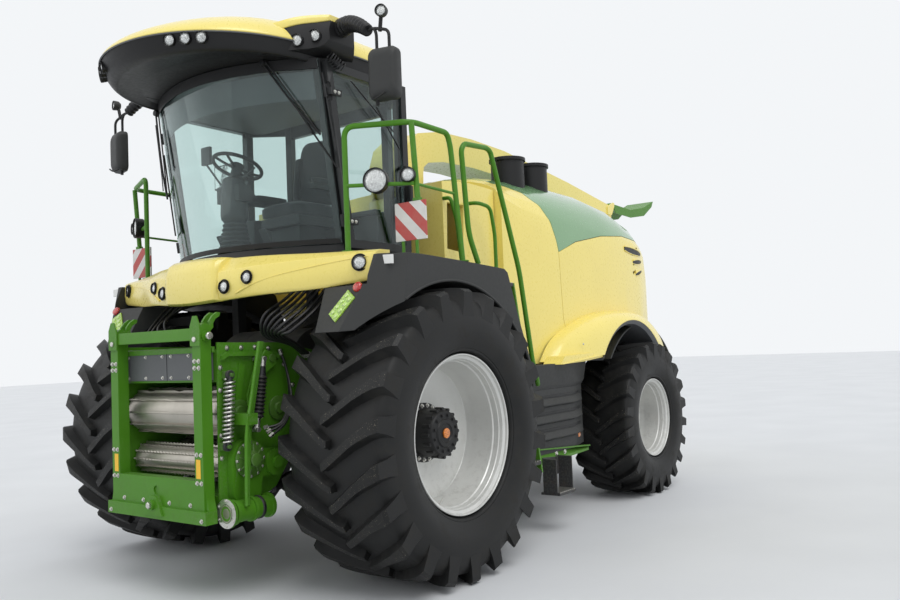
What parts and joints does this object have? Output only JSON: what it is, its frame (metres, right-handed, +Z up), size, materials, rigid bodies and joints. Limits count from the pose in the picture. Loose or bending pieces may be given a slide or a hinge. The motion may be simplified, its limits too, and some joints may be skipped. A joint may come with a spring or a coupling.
{
  "type": "forage harvester",
  "caption": "Self-propelled forage harvester with glazed cab, header intake, swivelling discharge chute, hooded rear body and large lugged tyres.",
  "frame": {"origin": "bottom centre of the whole machine, on the ground", "axes": "+X forward in the driving direction, +Y to the machine's left, +Z up"},
  "size_m": [8.5, 3.54, 4.2706],
  "materials": {
    "yellow_paint": "gloss paint",
    "green_paint": "gloss paint",
    "dark_frame": "satin paint",
    "silver_rim": "satin paint",
    "tyre": "moulded rubber",
    "bright_steel": "worn bright",
    "cab_frame": "satin black",
    "glass": "tinted",
    "black_plastic": "moulded",
    "dark_plastic": "moulded",
    "seat_fabric": "woven",
    "board": "reflective red and white stripes",
    "lamp": "clear lens"
  },
  "bodies": {
    "chassis": {"frame_rails": "dark_frame", "platform_frame": "dark_frame", "front_axle": "dark_frame", "rear_axle": "dark_frame", "engine_block": "dark_frame", "fuel_tank": "dark_frame", "drum_housing": "dark_frame", "cab_shell": "cab_frame", "cab_glass": "glass", "cab_roof": "yellow_paint", "roof_visor": "black_plastic", "cab_seat": "seat_fabric", "steering_column": "black_plastic", "fascia": "yellow_paint", "fender_left": "dark_plastic", "fender_right": "dark_plastic", "yellow_front_body": "yellow_paint", "tower": "yellow_paint", "hood_top": "green_paint", "side_panel_left": "yellow_paint", "side_panel_right": "yellow_paint", "rear_panel": "yellow_paint", "body_frame": "dark_frame", "rear_fender_left": "yellow_paint", "rear_fender_right": "yellow_paint", "wheel_arches": "dark_plastic", "lower_panels": "dark_plastic", "platform_rails": "green_paint", "ladder": "green_paint", "stacks": "black_plastic", "mirrors": "black_plastic", "warning_boards": "board", "lamps": "lamp"},
    "front_wheel_left": {"front_tyre_left": "tyre", "front_rim_left": "silver_rim"},
    "front_wheel_right": {"front_tyre_right": "tyre", "front_rim_right": "silver_rim"},
    "steer_left": {"knuckle_left": "dark_frame"},
    "steer_right": {"knuckle_right": "dark_frame"},
    "rear_wheel_left": {"rear_tyre_left": "tyre", "rear_rim_left": "silver_rim"},
    "rear_wheel_right": {"rear_tyre_right": "tyre", "rear_rim_right": "silver_rim"},
    "steering_rod": {"steering_rod": "bright_steel"},
    "cab_door": {"cab_door": "cab_frame", "door_glass": "glass"},
    "intake": {"intake_housing": "green_paint", "intake_drive": "green_paint"},
    "lift_cylinders": {"lift_cylinders": "black_plastic"},
    "lift_rods": {"lift_rods": "bright_steel"},
    "pendulum_frame": {"pendulum_frame": "green_paint"},
    "feed_upper_front": {"feed_upper_front": "bright_steel"},
    "feed_upper_rear": {"feed_upper_rear": "bright_steel"},
    "feed_lower_front": {"feed_lower_front": "bright_steel"},
    "feed_lower_rear": {"feed_lower_rear": "bright_steel"},
    "turret": {"turret": "yellow_paint"},
    "chute_boom": {"chute_boom": "yellow_paint"},
    "chute_flap": {"chute_flap": "green_paint"}
  },
  "joints": [
    {"name": "front_left_spin", "type": "hinge", "parent": "chassis", "child": "front_wheel_left", "pos_m": [2.8, 1.33, 1.02], "axis": [0, 1, 0], "continuous": true},
    {"name": "front_right_spin", "type": "hinge", "parent": "chassis", "child": "front_wheel_right", "pos_m": [2.8, -1.33, 1.02], "axis": [0, 1, 0], "continuous": true},
    {"name": "steer", "type": "hinge", "parent": "chassis", "child": "steer_left", "pos_m": [-0.93, 0.985, 0.795], "axis": [0, 0, 1], "range_deg": [-35, 35]},
    {"name": "steer_right_side", "type": "hinge", "parent": "chassis", "child": "steer_right", "pos_m": [-0.93, -0.985, 0.795], "axis": [0, 0, 1], "range_deg": [-35, 35]},
    {"name": "steer_rod_slide", "type": "slide", "parent": "chassis", "child": "steering_rod", "axis": [0, 1, 0], "range_m": [-0.142, 0.142]},
    {"name": "rear_left_spin", "type": "hinge", "parent": "steer_left", "child": "rear_wheel_left", "pos_m": [-0.93, 1.21, 0.795], "axis": [0, 1, 0], "continuous": true},
    {"name": "rear_right_spin", "type": "hinge", "parent": "steer_right", "child": "rear_wheel_right", "pos_m": [-0.93, -1.21, 0.795], "axis": [0, 1, 0], "continuous": true},
    {"name": "door", "type": "hinge", "parent": "chassis", "child": "cab_door", "pos_m": [3.22838, 0.996, 3], "axis": [0.1425, 0, 0.9898], "range_deg": [-45, 0]},
    {"name": "intake_lift", "type": "hinge", "parent": "chassis", "child": "intake", "pos_m": [2.92, 0, 1.5], "axis": [0, 1, 0], "range_deg": [-4, 16]},
    {"name": "lift_cylinder_swing", "type": "hinge", "parent": "chassis", "child": "lift_cylinders", "pos_m": [2.89, 0.47, 0.82], "axis": [0, 1, 0], "range_deg": [-5, 20]},
    {"name": "lift_rod_slide", "type": "slide", "parent": "lift_cylinders", "child": "lift_rods", "axis": [0.9733, 0, -0.2296], "range_m": [-0.18, 0.045]},
    {"name": "frame_swing", "type": "hinge", "parent": "intake", "child": "pendulum_frame", "pos_m": [4.057, 0, 0.727], "axis": [1, 0, 0], "range_deg": [-5, 5]},
    {"name": "feed_upper_front_spin", "type": "hinge", "parent": "intake", "child": "feed_upper_front", "pos_m": [3.82, 0, 1.245], "axis": [0, 1, 0], "continuous": true},
    {"name": "feed_upper_rear_spin", "type": "hinge", "parent": "intake", "child": "feed_upper_rear", "pos_m": [3.47, 0, 1.245], "axis": [0, 1, 0], "continuous": true},
    {"name": "feed_lower_front_spin", "type": "hinge", "parent": "intake", "child": "feed_lower_front", "pos_m": [3.82, 0, 0.9], "axis": [0, 1, 0], "continuous": true},
    {"name": "feed_lower_rear_spin", "type": "hinge", "parent": "intake", "child": "feed_lower_rear", "pos_m": [3.47, 0, 0.9], "axis": [0, 1, 0], "continuous": true},
    {"name": "chute_swivel", "type": "hinge", "parent": "chassis", "child": "turret", "pos_m": [1.41, 0, 2.9], "axis": [0, 0, 1], "range_deg": [-100, 100]},
    {"name": "chute_lift", "type": "hinge", "parent": "turret", "child": "chute_boom", "pos_m": [1.41, 0, 3.14], "axis": [0, 1, 0], "range_deg": [0, 40]},
    {"name": "chute_flap", "type": "hinge", "parent": "chute_boom", "child": "chute_flap", "pos_m": [-2.865, 0, 3.45], "axis": [0, 1, 0], "range_deg": [-65, 5]}
  ],
  "couplings": [
    {"joint": "steer_right_side", "follows": "steer", "ratio": 1},
    {"joint": "steer_rod_slide", "follows": "steer", "m_per_rad": -0.23},
    {"joint": "lift_cylinder_swing", "follows": "intake_lift", "ratio": 1.25},
    {"joint": "lift_rod_slide", "follows": "intake_lift", "m_per_rad": -0.643},
    {"joint": "feed_upper_rear_spin", "follows": "feed_upper_front_spin", "ratio": 1},
    {"joint": "feed_lower_front_spin", "follows": "feed_upper_front_spin", "ratio": -1.44},
    {"joint": "feed_lower_rear_spin", "follows": "feed_upper_front_spin", "ratio": -1.44}
  ]
}
